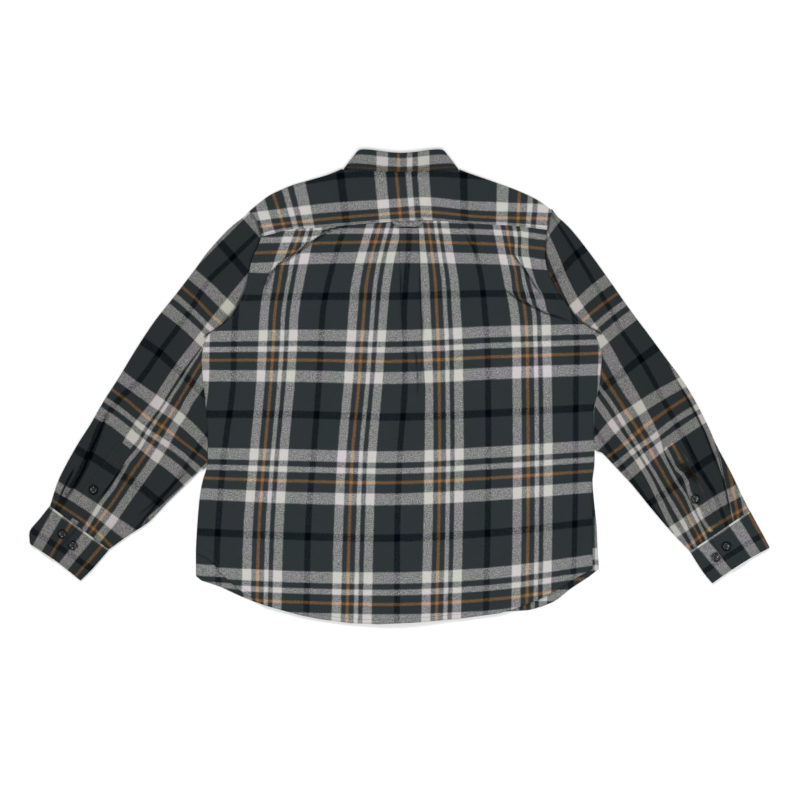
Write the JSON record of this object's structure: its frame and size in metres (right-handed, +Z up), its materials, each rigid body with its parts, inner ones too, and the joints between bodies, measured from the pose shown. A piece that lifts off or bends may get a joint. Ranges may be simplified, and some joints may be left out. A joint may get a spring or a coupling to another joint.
{
  "type": "flannel shirt",
  "caption": "Long-sleeved plaid flannel shirt with a box pleat, yoke, turned-down collar, buttoned cuffs and a curved hem, laid flat on its front",
  "frame": {"origin": "middle of the laid-out shirt's footprint, on the surface it lies on", "axes": "+X across the shirt to its right sleeve as seen from behind, +Y from the hem to the collar, +Z up out of the back"},
  "size_m": [1.222, 0.7821, 0.0118],
  "materials": {
    "flannel": "brushed two-coloured twill with a soft nap, charcoal with pale, orange and navy stripes both ways",
    "flannel_band": "the same flannel with interfacing behind it, cut across the grain",
    "button_plastic": "moulded, near black, slightly glossy"
  },
  "bodies": {
    "root": {"back": "flannel", "yoke": "flannel", "front_left": "flannel", "front_right": "flannel", "placket": "flannel_band", "button_band": "flannel", "sleeve_left": "flannel", "gauntlet_left": "flannel_band", "cuff_left": "flannel_band", "sleeve_right": "flannel", "gauntlet_right": "flannel_band", "cuff_right": "flannel_band", "collar_stand": "flannel_band", "collar_fall": "flannel_band", "locker_loop": "flannel_band", "button_cuff_left_1": "button_plastic", "button_cuff_left_2": "button_plastic", "button_cuff_right_1": "button_plastic", "button_cuff_right_2": "button_plastic", "button_gauntlet_left": "button_plastic", "button_gauntlet_right": "button_plastic", "button_front_1": "button_plastic", "button_front_2": "button_plastic", "button_front_3": "button_plastic", "button_front_4": "button_plastic", "button_front_5": "button_plastic", "button_front_6": "button_plastic", "button_stand": "button_plastic"}
  },
  "joints": []
}
